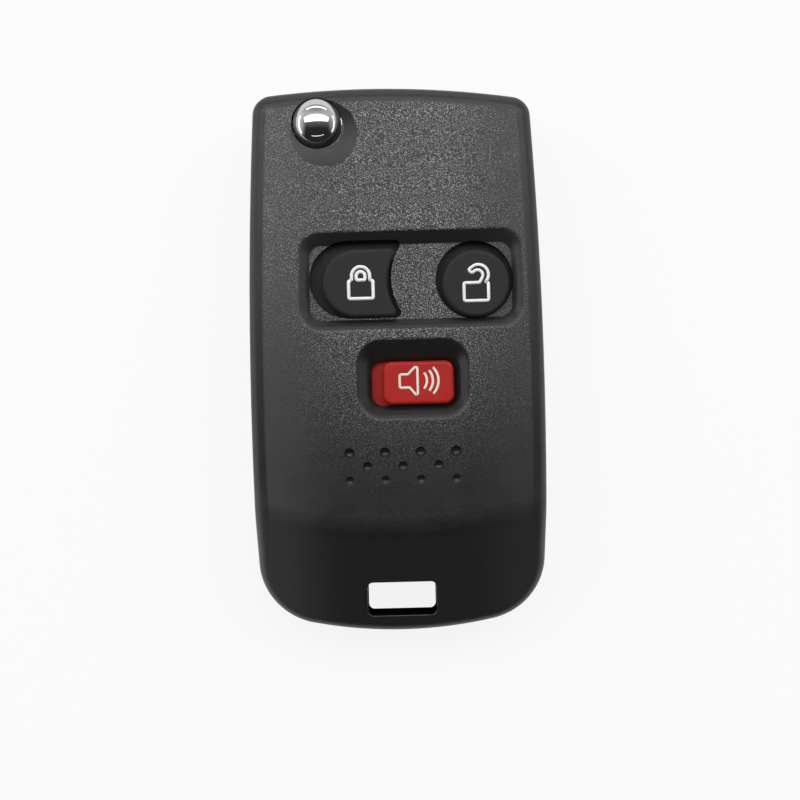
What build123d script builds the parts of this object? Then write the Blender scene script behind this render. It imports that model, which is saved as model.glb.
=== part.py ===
# Flip key remote shell, 74 mm long, lying on its back with the blade folded in.
# Units are millimetres. +Z points out of the front face and +Y to the end with the flip head.
# The origin is at the middle of the back, under the middle of the outline.

import os
from math import asin, cos, radians, sin, sqrt, tan

from build123d import *

os.makedirs("parts", exist_ok=True)

# Case outline
case_length = 74.13
case_width = 39.75
case_thickness = 16.0
widest_y = -5.6
side_radius = 700.0
head_end_radius = 127.0
head_end_x = -3.5
tail_end_radius = 60.0
head_corner_radius = 2.7
tail_corner_radius = 9.0
least_corner = 0.3

# Case faces
crown_radius = 500.0
crown_y = 3.4
tail_run = 14.3
tail_break_radius = 82.0
tail_slope = 24.0
back_run = 13.5
back_slope = 9.0
crease_radius = 9.0
mouth_depth = 0.45
back_crease_radius = 20.0
front_edge_radius = 1.8
back_edge_bevel = 1.3
wall = 1.6
parting_z = 6.6
parting_groove = 0.2

# Fits
running_gap = 0.1
head_gap = 0.2
slide_gap = 0.15
seat_gap = 0.05

# Flip mechanism
pivot_from_side = 9.82
pivot_from_end = 4.68
head_height = 6.8
barrel_radius = 4.3
head_width = 7.6
head_reach = 10.0
head_offset = 4.8
head_shoulder_radius = 2.2
head_shoulder_y = 1.0
head_edge = 0.4
collar_radius = 4.0
collar_height = 2.2
button_radius = 3.32
button_standing = 2.25
button_skirt = 5.9
dome_base_z = 14.95
button_travel = 1.5
lug_reach = 0.55
lug_width = 2.0
lug_height = 1.15
notch_depth = 1.1
stem_radius = 1.2
spring_radius = 1.95
spring_wire = 0.55
spring_turns = 6.0
spring_leg = 0.55
spring_leg_wire = 0.52
button_bore = 2.55
spring_top_z = 13.6
stem_end_z = 4.3
stem_screw_radius = 0.6
stem_screw_length = 2.6
stem_screw_head_radius = 1.8
stem_screw_head_height = 0.7
cap_flange_radius = 3.9
cap_flange_height = 1.2
cap_flat_width = 7.2
washer_radius = 4.0
washer_thickness = 0.25
cap_floor = 0.6
cap_floor_z = 4.4
cap_rim_z = 6.2
cap_wall = 0.9
screw_chamber_radius = 2.1
dish_shift = (0.99, -1.45)
dish_radius = 4.7
dish_depth = 0.75

# Blade
blade_width = 7.4
blade_thickness = 2.2
blade_tip_from_end = 13.45
blade_tip = 2.4
tang_width = 5.4
tang_length = 5.4
groove_width = 2.4
groove_depth = 0.5
groove_offset = 0.9
groove_start = 5.0
blade_edge = 0.3
pin_radius = 0.8
pin_wall = 0.35
pin_slit = 0.25
channel_height = 3.2
channel_end_gap = 1.6
divider_wall = 1.2
rib_count = 5
rib_thickness = 1.0

# Buttons
recess_depth = 1.3
recess_roof = 1.5
recess_from_left = 6.965
recess_from_right = 2.785
recess_from_end = 25.835
recess_height = 13.3
recess_slope_x = 1.4
recess_slope_y = 1.65
recess_floor_shift = -0.45
recess_corner = 2.8
recess_floor_corner = 1.6
recess_mouth_radius = 1.0
keypad_length = 26.6
hole_share = 0.1743
lock_hole_from_left = 1.35
lock_hole_drop = 0.01
lock_hole_stretch = 1.47
lock_cap_shift = (1.10, -0.54)
lock_cap_gap = 0.65
lock_cap_side_gap = 0.75
lock_hole_waist = 8.2
lock_cap_waist = 7.2
lock_horn_radius = 0.65
unlock_hole_from_right = 1.19
unlock_hole_drop = 0.4
unlock_cap_shift = (0.23, -0.55)
unlock_cap_gap = 0.70
panic_recess_depth = 1.9
panic_recess_drop = 13.54
panic_recess_size = (15.0, 10.6)
panic_recess_corner = 3.35
panic_mouth_radius = 1.0
panic_hole_shift = 0.04
panic_hole_drop = 14.11
panic_hole_size = (11.2, 6.1)
panic_hole_corner = 1.5
panic_cap_shift = 0.67
panic_cap_size = (9.55, 5.8)
panic_cap_corner = 1.2
cap_standing = 0.85
panic_cap_standing = 0.95
cap_edge = 0.45
web_thickness = 0.8
flange_lap = 0.4
flange_thickness = 0.6
stub_radius = 1.5
stub_length = 1.1
press_travel = 0.8

# Grip dimples
dimple_x = 0.47
dimple_drop = 25.27
dimple_pitch = 4.78
dimple_row_pitch = 1.87
dimple_radius = 0.68
dimple_depth = 0.4

# Key-ring slot
ring_slot_x = -0.1
ring_slot_from_end = 4.6
ring_slot_size = (9.45, 4.9)
ring_slot_corner = 0.8
ring_slot_wall = 1.5

# Case screws and tray
tail_screw_from_side = 6.7
tail_screw_from_end = 8.1
head_screw_from_side = 5.7
head_screw_from_end = 6.1
screw_radius = 1.0
screw_head_radius = 1.8
screw_head_height = 1.1
screw_seat_z = 2.4
screw_length = 7.2
boss_radius = 2.6
drive_width = 0.5
drive_reach = 2.2
tray_thickness = 1.0
tray_screw_from_side = 5.5
tray_screw_from_end = 4.4
tray_screw_radius = 0.7
tray_screw_head_radius = 1.3
tray_screw_length = 4.0
tray_screw_head_height = 0.55
tray_from_tail = 17.5
tray_rim = 0.8
tray_rim_height = 1.0
post_radius = 1.0
post_inset = 1.6
pillar_radius = 1.6
pillar_from_side = 3.9
pillar_y = 14.0
battery_radius = 10.2
battery_x = 4.4
battery_y = 4.0
battery_wall = 1.0
battery_wall_height = 3.2
battery_gap = 6.0
lip_height = 1.0
lip_thickness = 0.8
lip_length = 38.0

# Levels worked out from the sizes above
half_width = case_width / 2
half_length = case_length / 2
tail_break_y = tail_run - half_length
back_break_y = back_run - half_length
pivot_x = pivot_from_side - half_width
pivot_y = half_length - pivot_from_end
recess_width = case_width - recess_from_left - recess_from_right
button_x = (recess_from_left - recess_from_right) / 2
hole_radius = hole_share * recess_width
recess_y = half_length - recess_from_end
lock_hole_y = recess_y - lock_hole_drop
unlock_hole_y = recess_y - unlock_hole_drop
panic_recess_y = recess_y - panic_recess_drop
panic_hole_y = recess_y - panic_hole_drop
dimple_y = recess_y - dimple_drop
lock_hole_x = recess_from_left - half_width + lock_hole_from_left + hole_radius
lock_hole_right = lock_hole_x + lock_hole_stretch * hole_radius
lock_cap_x = lock_hole_x + lock_cap_shift[0]
lock_cap_y = lock_hole_y + lock_cap_shift[1]
lock_cap_radius = hole_radius - lock_cap_gap
lock_cap_right = lock_hole_right - lock_cap_side_gap
unlock_hole_x = half_width - recess_from_right - unlock_hole_from_right - hole_radius
unlock_cap_x = unlock_hole_x + unlock_cap_shift[0]
unlock_cap_y = unlock_hole_y + unlock_cap_shift[1]
unlock_cap_radius = hole_radius - unlock_cap_gap
panic_hole_x = button_x + panic_hole_shift
panic_cap_x = panic_hole_x + panic_cap_shift
ring_slot_y = ring_slot_from_end - half_length
break_z = case_thickness - crown_radius + sqrt(crown_radius**2 - (tail_break_y - crown_y) ** 2)
dish_y = pivot_y + dish_shift[1]
dish_face_z = case_thickness - crown_radius + sqrt(crown_radius**2 - (dish_y - crown_y) ** 2)
blade_z = parting_z
head_bottom_z = blade_z - head_height / 2
head_top_z = blade_z + head_height / 2
collar_top_z = head_top_z + collar_height
web_top_z = case_thickness - recess_depth - recess_roof
web_bottom_z = web_top_z - web_thickness
flange_bottom_z = web_top_z - seat_gap - flange_thickness
channel_top_z = blade_z + channel_height / 2
channel_bottom_z = blade_z - channel_height / 2
tray_z = channel_top_z + head_gap
blade_x = pivot_x - head_offset
blade_root_y = pivot_y - head_reach
blade_tip_y = blade_tip_from_end - half_length
blade_length = blade_root_y - blade_tip_y
channel_end_y = blade_tip_y - channel_end_gap
divider_x = blade_x + blade_width / 2 + 2 * head_gap
pivot = Vector(pivot_x, pivot_y)
head_floor_y = pivot_y - head_reach - head_gap - wall
rib_pitch = (head_floor_y - channel_end_y) / rib_count
tray_end_y = tray_from_tail - half_length
tray_length = head_floor_y - slide_gap - tray_end_y
dimple_face_z = case_thickness - crown_radius + sqrt(crown_radius**2 - (dimple_y - crown_y) ** 2)
cap_top_z = case_thickness - recess_depth + cap_standing
panic_top_z = case_thickness - panic_recess_depth + panic_cap_standing
lug_top_z = collar_top_z + running_gap - slide_gap
button_skirt_z = dome_base_z - button_skirt
dome_ball = (button_radius**2 + button_standing**2) / (2 * button_standing)
dome_centre_z = dome_base_z + button_standing - dome_ball
dome_half_angle = asin(button_radius / dome_ball) / 2
post_places = [
    (button_x + side * (recess_width / 2 - post_inset), recess_y + recess_height / 2 - depth)
    for side in (-1, 1)
    for depth in (post_inset, keypad_length - post_inset)
]


def case_outline(inset=0.0):
    """The barrel outline of the case, drawn in by inset."""
    with BuildSketch() as outline:
        with Locations((half_width - side_radius, widest_y)):
            Circle(side_radius - inset)
        with Locations((side_radius - half_width, widest_y)):
            Circle(side_radius - inset, mode=Mode.INTERSECT)
        with Locations((head_end_x, half_length - head_end_radius)):
            Circle(head_end_radius - inset, mode=Mode.INTERSECT)
        with Locations((0, tail_end_radius - half_length)):
            Circle(tail_end_radius - inset, mode=Mode.INTERSECT)
        fillet(outline.vertices().sort_by(Axis.Y)[-2:], max(head_corner_radius - inset, least_corner))
        fillet(outline.vertices().sort_by(Axis.Y)[:2], tail_corner_radius - inset)
    return outline.sketch


def case_body(inset=0.0):
    """The closed form of both covers together, with every face moved in by inset."""
    slope_shift = inset / cos(radians(tail_slope))
    slope_top_y = tail_break_y + (case_thickness - break_z + slope_shift) / tan(radians(tail_slope))
    slope_end_y = -half_length - wall
    slope_end_z = case_thickness - (slope_top_y - slope_end_y) * tan(radians(tail_slope))
    back_start_y = back_break_y + inset * tan(radians(back_slope) / 2)
    back_end_z = inset + (back_start_y - slope_end_y) * tan(radians(back_slope))
    with BuildPart() as body:
        with BuildSketch(Plane.XY.offset(inset)):
            add(case_outline(inset))
        extrude(amount=case_thickness - inset)
        with BuildSketch(Plane.YZ):
            with Locations((crown_y, case_thickness - crown_radius)):
                Circle(crown_radius - inset)
        extrude(amount=case_width, both=True, mode=Mode.INTERSECT)
        with BuildSketch(Plane.YZ):
            Polygon(
                (slope_top_y, case_thickness),
                (slope_end_y, slope_end_z),
                (slope_end_y, case_thickness),
                align=None,
            )
        revolve(axis=Axis((0, tail_break_y + tail_break_radius, 0), (0, 0, 1)), mode=Mode.SUBTRACT)
        with BuildSketch(Plane.YZ):
            Polygon((back_start_y, inset), (slope_end_y, back_end_z), (slope_end_y, inset), align=None)
        extrude(amount=case_width, both=True, mode=Mode.SUBTRACT)
    return body.part


def head_profile(turn=0.0, clearance=0.0):
    """The flip head seen from the front, turned about the pivot and grown by clearance."""
    left = -head_offset - head_width / 2
    right = -head_offset + head_width / 2
    with BuildSketch() as profile:
        with BuildLine():
            CenterArc((0, 0), barrel_radius, 0, 360)
            CenterArc((left + head_shoulder_radius, head_shoulder_y), head_shoulder_radius, 0, 360)
            Line((left, -head_reach), (right, -head_reach))
        make_hull()
        if clearance:
            offset(amount=clearance)
    return Pos(pivot_x, pivot_y) * Rot(0, 0, -turn) * profile.sketch


def lock_shape(x, y, radius, right, waist):
    """The lock button's outline: round on the left, with a hollow right side."""
    waist_x = right + sqrt(waist**2 - radius**2)
    with BuildSketch() as shape:
        with Locations((x, y)):
            Circle(radius)
            Rectangle(right - x, 2 * radius, align=(Align.MIN, Align.CENTER))
        with Locations((waist_x, y)):
            Circle(waist, mode=Mode.SUBTRACT)
        fillet(shape.vertices().group_by(Axis.X)[-1], lock_horn_radius)
    return shape.sketch


def rounded(x, y, size, corner):
    """A rounded rectangle about a point."""
    with BuildSketch() as shape:
        with Locations((x, y)):
            RectangleRounded(*size, corner)
    return shape.sketch


def round_shape(x, y, radius):
    """A disc about a point."""
    with BuildSketch() as shape:
        with Locations((x, y)):
            Circle(radius)
    return shape.sketch


lock_hole = lock_shape(lock_hole_x, lock_hole_y, hole_radius, lock_hole_right, lock_hole_waist)
lock_top = lock_shape(lock_cap_x, lock_cap_y, lock_cap_radius, lock_cap_right, lock_cap_waist)
unlock_hole = round_shape(unlock_hole_x, unlock_hole_y, hole_radius)
unlock_top = round_shape(unlock_cap_x, unlock_cap_y, unlock_cap_radius)
panic_hole = rounded(panic_hole_x, panic_hole_y, panic_hole_size, panic_hole_corner)
panic_top = rounded(panic_cap_x, panic_hole_y, panic_cap_size, panic_cap_corner)

case_screw_places = [
    (tail_screw_from_side - half_width, tail_screw_from_end - half_length),
    (half_width - tail_screw_from_side, tail_screw_from_end - half_length),
    (half_width - head_screw_from_side, half_length - head_screw_from_end),
]
tray_screw_places = [
    (divider_x + tray_screw_from_side, tray_end_y + tray_screw_from_end),
    (half_width - tray_screw_from_side, tray_end_y + tray_screw_from_end),
]
pillar_places = [(half_width - pillar_from_side, -pillar_y), (half_width - pillar_from_side, pillar_y)]

# Space that the flip head passes through, from closed to open
with BuildSketch() as head_space:
    add(head_profile(0, head_gap))
    add(head_profile(180, head_gap))
    with Locations((pivot_x, pivot_y - head_reach - head_gap)):
        Rectangle(case_width / 2, head_reach * 2, align=(Align.MAX, Align.MIN))

# Blade channel, open along the left side
with BuildSketch() as channel_space:
    with Locations((divider_x, channel_end_y)):
        Rectangle(case_width, pivot_y - channel_end_y, align=(Align.MAX, Align.MIN))

# Solid that both covers keep: round the flip head, round the key-ring slot and at the screws
with BuildSketch() as head_corner:
    add(head_space.sketch)
    offset(amount=wall)
with BuildSketch() as solid_places:
    add(head_corner.sketch)
    with Locations((ring_slot_x, ring_slot_y)):
        Rectangle(ring_slot_size[0] + 2 * ring_slot_wall, ring_slot_size[1] + 2 * ring_slot_wall)
    with Locations(*case_screw_places):
        Circle(boss_radius)

# Hollow inside the front cover, with a flat seat for the keypad
with BuildPart() as front_hollow:
    add(case_body(wall))
    with BuildSketch():
        add(solid_places.sketch)
    extrude(amount=case_thickness, mode=Mode.SUBTRACT)
    with BuildSketch(Plane.XY.offset(tray_z + tray_thickness)):
        with Locations(*tray_screw_places):
            Circle(tray_screw_radius + wall)
    extrude(amount=case_thickness, mode=Mode.SUBTRACT)
    with BuildSketch(Plane.XY.offset(web_top_z)):
        with Locations((0, recess_y + recess_height / 2 + wall)):
            Rectangle(case_width, keypad_length + 2 * wall, align=(Align.CENTER, Align.MAX))
    extrude(amount=case_thickness, mode=Mode.SUBTRACT)

# Hollow inside the rear cover
with BuildPart() as rear_hollow:
    add(case_body(wall))
    with BuildSketch():
        add(solid_places.sketch)
    extrude(amount=case_thickness, mode=Mode.SUBTRACT)

# Outer form of both covers, with its softened edges
with BuildPart() as case_form:
    add(case_body())
    fillet(case_form.faces().filter_by(GeomType.CONE).edges().sort_by(Axis.Y)[-1], crease_radius)
    fillet(case_form.edges().filter_by(Axis.X).sort_by(Axis.Z)[0], back_crease_radius)
    sides = case_form.faces().filter_by(lambda face: abs(face.normal_at().Z) < 0.01)
    rims = sides.edges().filter_by(GeomType.LINE, reverse=True)
    fillet(rims.filter_by(lambda edge: edge.center().Z > parting_z), front_edge_radius)
    sides = case_form.faces().filter_by(lambda face: abs(face.normal_at().Z) < 0.01)
    rims = sides.edges().filter_by(GeomType.LINE, reverse=True)
    chamfer(rims.filter_by(lambda edge: edge.center().Z < parting_z), back_edge_bevel)

# Front cover
dish_ball = (dish_radius**2 + dish_depth**2) / (2 * dish_depth)
dish_rise = dish_ball - dish_depth
dish_lean = (dish_y - crown_y) / crown_radius
dimple_ball = (dimple_radius**2 + dimple_depth**2) / (2 * dimple_depth)
with BuildPart() as front_cover:
    add(case_form.part)
    split(bisect_by=Plane.XY.offset(parting_z), keep=Keep.TOP)
    add(front_hollow.part, mode=Mode.SUBTRACT)
    with BuildSketch(Plane.XY.offset(parting_z)):
        add(head_space.sketch)
    extrude(amount=head_top_z + head_gap - parting_z, mode=Mode.SUBTRACT)
    with BuildSketch(Plane.XY.offset(parting_z)):
        add(channel_space.sketch)
    extrude(amount=channel_height / 2, mode=Mode.SUBTRACT)
    # Bearing for the head's collar, with the two catch notches and the button's hole above it
    with BuildSketch(Plane.XY.offset(head_top_z)):
        with Locations(pivot):
            Circle(collar_radius + running_gap)
    extrude(amount=collar_height + running_gap, mode=Mode.SUBTRACT)
    with BuildSketch(Plane.XY.offset(collar_top_z)):
        with Locations(pivot):
            Rectangle(2 * (button_radius + lug_reach + slide_gap), lug_width + 2 * slide_gap)
    extrude(amount=notch_depth + running_gap, mode=Mode.SUBTRACT)
    with BuildSketch(Plane.XY.offset(head_top_z)):
        with Locations(pivot):
            Circle(button_radius + running_gap)
    extrude(amount=case_thickness, mode=Mode.SUBTRACT)
    with Locations((pivot_x + dish_shift[0], dish_y + dish_rise * dish_lean, dish_face_z + dish_rise)):
        Sphere(dish_ball, mode=Mode.SUBTRACT)
    # Half of the fine groove along the parting line
    with BuildSketch(Plane.XY.offset(parting_z)):
        add(case_outline())
        add(case_outline(parting_groove), mode=Mode.SUBTRACT)
    extrude(amount=parting_groove / 2, mode=Mode.SUBTRACT)
    # Button recess with its sloped walls
    with BuildSketch(Plane.XY.offset(case_thickness)):
        with Locations((button_x, recess_y)):
            RectangleRounded(recess_width, recess_height, recess_corner)
    with BuildSketch(Plane.XY.offset(case_thickness - recess_depth)):
        with Locations((button_x, recess_y + recess_floor_shift)):
            RectangleRounded(
                recess_width - 2 * recess_slope_x, recess_height - 2 * recess_slope_y, recess_floor_corner
            )
    loft(mode=Mode.SUBTRACT)
    mouth = edges(Select.LAST).filter_by_position(Axis.Z, case_thickness - mouth_depth, case_thickness)
    fillet(mouth, recess_mouth_radius)
    # Panic recess, a funnel down to its hole
    with BuildSketch(Plane.XY.offset(case_thickness)):
        with Locations((button_x, panic_recess_y)):
            RectangleRounded(*panic_recess_size, panic_recess_corner)
    with BuildSketch(Plane.XY.offset(case_thickness - panic_recess_depth)):
        with Locations((panic_hole_x, panic_hole_y)):
            RectangleRounded(*panic_hole_size, panic_hole_corner)
    loft(mode=Mode.SUBTRACT)
    mouth = edges(Select.LAST).filter_by_position(Axis.Z, case_thickness - mouth_depth, case_thickness)
    fillet(mouth, panic_mouth_radius)
    with BuildSketch(Plane.XY.offset(web_top_z)):
        add(lock_hole)
        add(unlock_hole)
        add(panic_hole)
    extrude(amount=case_thickness - web_top_z, mode=Mode.SUBTRACT)
    # Grip dimples, rows of four, three and four
    for row, count in ((1, 4), (0, 3), (-1, 4)):
        for step in range(count):
            x = dimple_x + (step - (count - 1) / 2) * dimple_pitch
            with Locations((x, dimple_y + row * dimple_row_pitch, dimple_face_z + dimple_ball - dimple_depth)):
                Sphere(dimple_ball, mode=Mode.SUBTRACT)
    # Key-ring slot and the screws' pilot holes
    with BuildSketch():
        with Locations((ring_slot_x, ring_slot_y)):
            RectangleRounded(*ring_slot_size, ring_slot_corner)
    extrude(amount=case_thickness, mode=Mode.SUBTRACT)
    with BuildSketch():
        with Locations(*case_screw_places):
            Circle(screw_radius)
    extrude(amount=screw_seat_z + screw_length + seat_gap, mode=Mode.SUBTRACT)
    with BuildSketch():
        with Locations(*tray_screw_places):
            Circle(tray_screw_radius)
    extrude(amount=tray_z + tray_screw_length + seat_gap, mode=Mode.SUBTRACT)
front_cover.part.label = "front_cover"
export_step(front_cover.part, "parts/front_cover.step")

# Rear cover
with BuildPart() as rear_cover:
    add(case_form.part)
    split(bisect_by=Plane.XY.offset(parting_z), keep=Keep.BOTTOM)
    add(rear_hollow.part, mode=Mode.SUBTRACT)
    # Divider between the blade channel and the board bay, with the wall at the channel's end
    with BuildSketch(Plane.XY.offset(wall)):
        with Locations((divider_x, head_floor_y)):
            Rectangle(
                divider_wall, head_floor_y - channel_end_y + divider_wall, align=(Align.MIN, Align.MAX)
            )
    extrude(amount=tray_z - wall)
    with BuildSketch(Plane.XY.offset(wall)):
        with Locations((divider_x, channel_end_y)):
            Rectangle(divider_x + half_width - wall, divider_wall, align=(Align.MAX, Align.MAX))
    extrude(amount=parting_z - wall)
    # Ribs under the blade
    with BuildSketch(Plane.XY.offset(wall)):
        for step in range(rib_count):
            with Locations((divider_x, channel_end_y + (step + 0.5) * rib_pitch)):
                Rectangle(divider_x + half_width - wall, rib_thickness, align=(Align.MAX, Align.CENTER))
    extrude(amount=channel_bottom_z - wall)
    # Pillars under the tray and the cradle round the battery's place
    with BuildSketch(Plane.XY.offset(wall)):
        with Locations(*pillar_places):
            Circle(pillar_radius)
    extrude(amount=tray_z - wall)
    with BuildSketch(Plane.XY.offset(wall)):
        with Locations((battery_x, battery_y)):
            Circle(battery_radius + battery_wall)
            Circle(battery_radius, mode=Mode.SUBTRACT)
            Rectangle(2 * (battery_radius + wall), battery_gap, mode=Mode.SUBTRACT)
    extrude(amount=battery_wall_height)
    # Lip that enters the front cover along the right side
    with BuildSketch(Plane.XY.offset(parting_z - 2 * lip_height)):
        add(case_outline(wall))
        add(case_outline(wall + lip_thickness), mode=Mode.SUBTRACT)
        with Locations((half_width, 0)):
            Rectangle(half_width, lip_length, mode=Mode.INTERSECT)
    extrude(amount=2 * lip_height)
    with BuildSketch(Plane.XY.offset(parting_z)):
        add(case_outline(wall + seat_gap))
        add(case_outline(wall + lip_thickness), mode=Mode.SUBTRACT)
        with Locations((half_width, 0)):
            Rectangle(half_width, lip_length, mode=Mode.INTERSECT)
    extrude(amount=lip_height)
    # Space for the head and the blade, and the keyed pocket for the spring cap
    with BuildSketch(Plane.XY.offset(head_bottom_z - head_gap)):
        add(head_space.sketch)
    extrude(amount=parting_z - head_bottom_z + head_gap, mode=Mode.SUBTRACT)
    with BuildSketch(Plane.XY.offset(channel_bottom_z)):
        add(channel_space.sketch)
    extrude(amount=channel_height / 2, mode=Mode.SUBTRACT)
    with BuildSketch(Plane.XY.offset(head_bottom_z - head_gap - cap_flange_height)):
        with Locations(pivot):
            Circle(cap_flange_radius + seat_gap)
            Rectangle(
                cap_flat_width + 2 * seat_gap, 3 * cap_flange_radius, mode=Mode.INTERSECT
            )
    extrude(amount=head_height, mode=Mode.SUBTRACT)
    # Half of the fine groove along the parting line
    with BuildSketch(Plane.XY.offset(parting_z)):
        add(case_outline())
        add(case_outline(parting_groove), mode=Mode.SUBTRACT)
    extrude(amount=-parting_groove / 2, mode=Mode.SUBTRACT)
    # Key-ring slot and counterbored screw holes
    with BuildSketch():
        with Locations((ring_slot_x, ring_slot_y)):
            RectangleRounded(*ring_slot_size, ring_slot_corner)
    extrude(amount=case_thickness, mode=Mode.SUBTRACT)
    with BuildSketch():
        with Locations(*case_screw_places):
            Circle(screw_head_radius + slide_gap)
    extrude(amount=screw_seat_z, mode=Mode.SUBTRACT)
    with BuildSketch():
        with Locations(*case_screw_places):
            Circle(screw_radius + running_gap)
    extrude(amount=case_thickness, mode=Mode.SUBTRACT)
rear_cover.part.label = "rear_cover"
export_step(rear_cover.part, "parts/rear_cover.step")

# Board tray, the carrier that roofs the blade channel and presses the keypad up
with BuildPart() as board_tray:
    with BuildSketch(Plane.XY.offset(tray_z)):
        add(case_outline(wall + slide_gap))
        with Locations((0, tray_end_y)):
            Rectangle(case_width, tray_length, align=(Align.CENTER, Align.MIN), mode=Mode.INTERSECT)
        with Locations((battery_x, battery_y)):
            Circle(battery_radius, mode=Mode.SUBTRACT)
    extrude(amount=tray_thickness)
    # Low rim that the board would sit in
    with BuildSketch(Plane.XY.offset(tray_z + tray_thickness)):
        add(case_outline(wall + slide_gap))
        add(case_outline(wall + slide_gap + tray_rim), mode=Mode.SUBTRACT)
        with Locations((0, tray_end_y)):
            Rectangle(case_width, tray_length, align=(Align.CENTER, Align.MIN), mode=Mode.INTERSECT)
    extrude(amount=tray_rim_height)
    with BuildSketch(Plane.XY.offset(tray_z + tray_thickness)):
        with Locations(*post_places):
            Circle(post_radius)
    extrude(amount=web_bottom_z - tray_z - tray_thickness)
    with BuildSketch(Plane.XY.offset(tray_z)):
        with Locations(*tray_screw_places):
            Circle(tray_screw_radius + running_gap)
    extrude(amount=tray_thickness, mode=Mode.SUBTRACT)
    with BuildSketch(Plane.XY.offset(tray_z)):
        with Locations(*tray_screw_places):
            Circle(tray_screw_head_radius + running_gap)
    extrude(amount=tray_screw_head_height, mode=Mode.SUBTRACT)
board_tray.part.label = "board_tray"
export_step(board_tray.part, "parts/board_tray.step")

# Keypad web, the rubber sheet clamped under the front cover
with BuildPart() as keypad_web:
    with BuildSketch(Plane.XY.offset(web_bottom_z)):
        with Locations((button_x, recess_y + recess_height / 2)):
            RectangleRounded(recess_width, keypad_length, recess_corner, align=(Align.CENTER, Align.MAX))
        for hole in (lock_hole, unlock_hole, panic_hole):
            with BuildSketch(mode=Mode.PRIVATE) as flange_space:
                add(hole)
                offset(amount=flange_lap + slide_gap)
            add(flange_space.sketch, mode=Mode.SUBTRACT)
    extrude(amount=web_thickness)
keypad_web.part.label = "keypad_web"
export_step(keypad_web.part, "parts/keypad_web.step")


def push_button(hole, top, stub_x, stub_y, top_z):
    """A button cap that stands in its hole on a wider flange, with a stub for the switch under it."""
    with BuildPart() as cap:
        with BuildSketch(Plane.XY.offset(flange_bottom_z)):
            add(hole)
            offset(amount=flange_lap)
        extrude(amount=flange_thickness)
        with BuildSketch(Plane.XY.offset(flange_bottom_z)):
            add(top)
        extrude(amount=top_z - flange_bottom_z)
        fillet(cap.faces().sort_by(Axis.Z)[-1].edges(), cap_edge)
        with BuildSketch(Plane.XY.offset(flange_bottom_z)):
            with Locations((stub_x, stub_y)):
                Circle(stub_radius)
        extrude(amount=-stub_length)
    return cap.part


with BuildPart() as lock_button:
    add(push_button(lock_hole, lock_top, lock_cap_x, lock_cap_y, cap_top_z))
lock_button.part.label = "lock_button"
export_step(lock_button.part, "parts/lock_button.step")

with BuildPart() as unlock_button:
    add(push_button(unlock_hole, unlock_top, unlock_cap_x, unlock_cap_y, cap_top_z))
unlock_button.part.label = "unlock_button"
export_step(unlock_button.part, "parts/unlock_button.step")

with BuildPart() as panic_button:
    add(push_button(panic_hole, panic_top, panic_cap_x, panic_hole_y, panic_top_z))
panic_button.part.label = "panic_button"
export_step(panic_button.part, "parts/panic_button.step")

# Release button: a domed cup with two lugs and a central stem
with BuildPart() as release_button:
    with BuildSketch(Plane.XZ.offset(-pivot_y)) as dome_profile:
        with BuildLine():
            Polyline(
                (pivot_x, button_skirt_z),
                (pivot_x + button_radius, button_skirt_z),
                (pivot_x + button_radius, dome_base_z),
            )
            ThreePointArc(
                (pivot_x + button_radius, dome_base_z),
                (pivot_x + dome_ball * sin(dome_half_angle), dome_centre_z + dome_ball * cos(dome_half_angle)),
                (pivot_x, dome_centre_z + dome_ball),
            )
            Line((pivot_x, dome_centre_z + dome_ball), (pivot_x, button_skirt_z))
        make_face()
    revolve(axis=Axis((pivot_x, pivot_y, 0), (0, 0, 1)))
    with BuildSketch(Plane.XY.offset(lug_top_z)):
        with Locations(pivot):
            Rectangle(2 * (button_radius + lug_reach), lug_width)
    extrude(amount=-lug_height)
    with BuildSketch(Plane.XY.offset(button_skirt_z)):
        with Locations(pivot):
            Circle(button_bore)
    extrude(amount=spring_top_z - button_skirt_z, mode=Mode.SUBTRACT)
    with BuildSketch(Plane.XY.offset(stem_end_z)):
        with Locations(pivot):
            Circle(stem_radius)
    extrude(amount=spring_top_z - stem_end_z)
    with BuildSketch(Plane.XY.offset(stem_end_z)):
        with Locations(pivot):
            Circle(stem_screw_radius)
    extrude(amount=stem_screw_length, mode=Mode.SUBTRACT)
    with BuildSketch(Plane.XY.offset(spring_top_z)):
        with Locations((pivot_x + spring_radius, pivot_y)):
            Circle(spring_wire / 2 + seat_gap)
    extrude(amount=spring_leg + seat_gap, mode=Mode.SUBTRACT)
release_button.part.label = "release_button"
export_step(release_button.part, "parts/release_button.step")

# Screw with a washer head that keeps the release button on the spring cap
with BuildPart() as stem_screw:
    with BuildSketch(Plane.XY.offset(stem_end_z)):
        with Locations(pivot):
            Circle(stem_screw_head_radius)
    extrude(amount=-stem_screw_head_height)
    with BuildSketch(Plane.XY.offset(stem_end_z)):
        with Locations(pivot):
            Circle(stem_screw_radius)
    extrude(amount=stem_screw_length - seat_gap)
    with BuildSketch(Plane.XY.offset(stem_end_z - stem_screw_head_height)):
        with Locations(pivot):
            Rectangle(drive_reach, drive_width)
            Rectangle(drive_width, drive_reach)
    extrude(amount=stem_screw_head_height / 2, mode=Mode.SUBTRACT)
stem_screw.part.label = "stem_screw"
export_step(stem_screw.part, "parts/stem_screw.step")

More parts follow.
